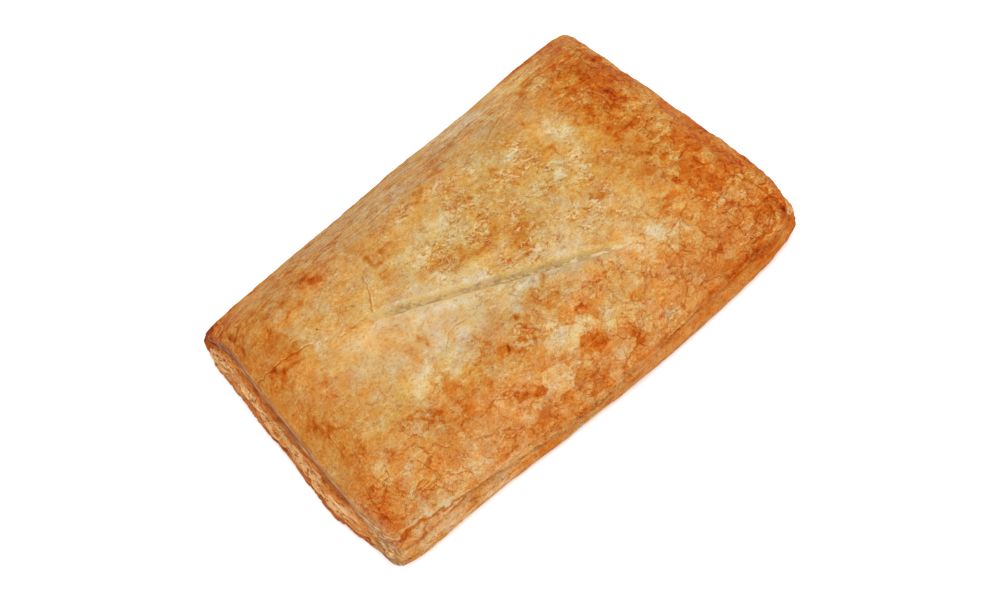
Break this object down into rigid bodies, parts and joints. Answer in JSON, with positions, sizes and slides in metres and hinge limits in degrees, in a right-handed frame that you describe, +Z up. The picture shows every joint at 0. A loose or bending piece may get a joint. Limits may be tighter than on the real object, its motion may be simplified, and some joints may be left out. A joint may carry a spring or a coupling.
{
  "type": "bean-filled puff pastry",
  "caption": "Rectangular bean-filled flatbread of puff pastry, baked golden, with rounded folded sides, layered cut ends and a shallow slanting slit across its domed top.",
  "frame": {"origin": "middle of the flat base, under the middle of the object's box", "axes": "+X along the long axis, away from the end where the crevice and layers show; +Z up, out of the slit top; +Y towards the long side that the slit starts near"},
  "size_m": [0.1999, 0.132, 0.0302],
  "materials": {
    "crust": "baked, egg-washed, mottled golden to orange-brown"
  },
  "bodies": {
    "root": {"pastry": "crust"}
  },
  "joints": []
}
